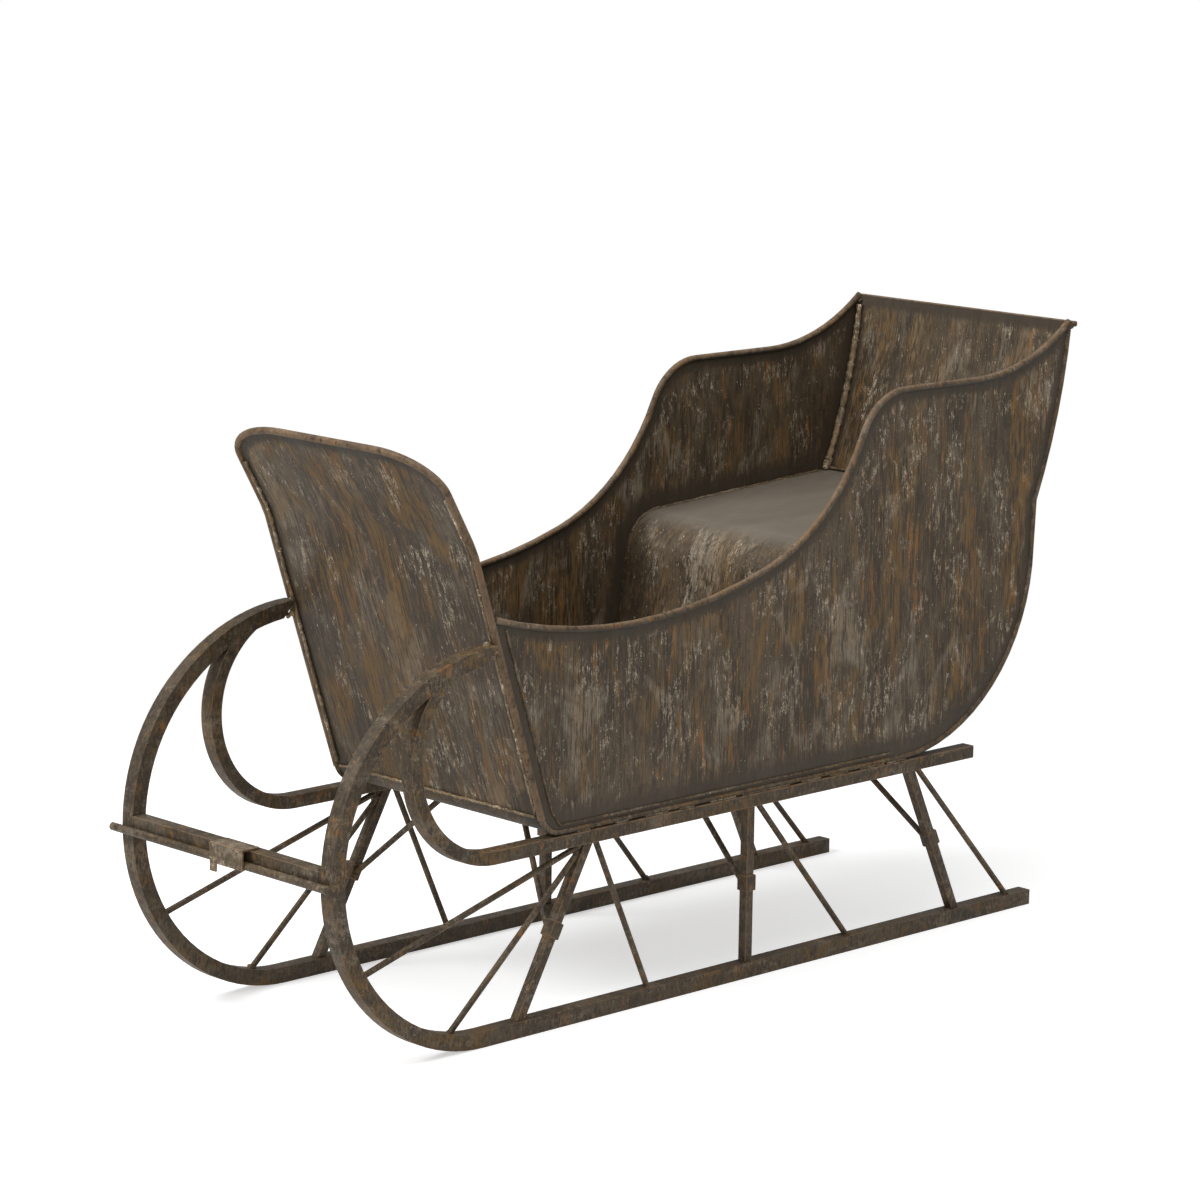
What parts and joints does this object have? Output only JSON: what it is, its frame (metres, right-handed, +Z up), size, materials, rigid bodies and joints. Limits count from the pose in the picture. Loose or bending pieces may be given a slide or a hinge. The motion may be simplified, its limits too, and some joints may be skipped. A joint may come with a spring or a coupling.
{
  "type": "horse drawn sleigh",
  "caption": "One-seat sleigh in welded iron: curled runners, braced posts, sheet metal body with a curved dash, a built-in bench and a draft bar between the curls.",
  "frame": {"origin": "on the ground under the middle of the sleigh's overall box", "axes": "-Y is the front, where the runners curl up; +X is the sleigh's left; +Z is up"},
  "size_m": [0.642, 2.082, 1.2614],
  "materials": {
    "bar_iron": "aged iron bar, dark brown with rust and rubbed edges",
    "rod_iron": "aged round iron, dark brown, lightly rusted",
    "rim_iron": "edge rod rubbed to lighter brown with ochre rust",
    "sheet_iron": "sheet steel with a dark brushed patina, vertical ochre streaks and pale flecks",
    "seat_iron": "sheet steel seat, greyer and duller from use"
  },
  "bodies": {
    "root": {"runner_left": "bar_iron", "runner_right": "bar_iron", "scroll_brace_left": "bar_iron", "scroll_brace_right": "bar_iron", "side_rail_left": "bar_iron", "side_rail_right": "bar_iron", "front_post_left": "bar_iron", "front_post_right": "bar_iron", "middle_post_left": "bar_iron", "middle_post_right": "bar_iron", "rear_post_left": "bar_iron", "rear_post_right": "bar_iron", "front_brace_left": "rod_iron", "front_brace_right": "rod_iron", "middle_brace_left": "rod_iron", "middle_brace_right": "rod_iron", "rear_brace_left": "rod_iron", "rear_brace_right": "rod_iron", "front_upper_stay_left": "rod_iron", "front_upper_stay_right": "rod_iron", "front_lower_stay_left": "rod_iron", "front_lower_stay_right": "rod_iron", "front_back_stay_left": "rod_iron", "front_back_stay_right": "rod_iron", "middle_stay_left": "rod_iron", "middle_stay_right": "rod_iron", "rear_stay_left": "rod_iron", "rear_stay_right": "rod_iron", "front_crossmember": "bar_iron", "middle_crossmember": "bar_iron", "rear_crossmember": "bar_iron", "floor_pan": "sheet_iron", "dash_panel": "sheet_iron", "side_panel_left": "sheet_iron", "side_panel_right": "sheet_iron", "back_panel": "sheet_iron", "seat_shell": "seat_iron", "dash_rim": "rim_iron", "back_rim": "rim_iron", "side_rim_left": "rim_iron", "side_rim_right": "rim_iron", "side_bead_left": "rim_iron", "side_bead_right": "rim_iron", "draft_angle": "bar_iron", "draft_rod": "rod_iron", "shaft_plate": "bar_iron"}
  },
  "joints": []
}
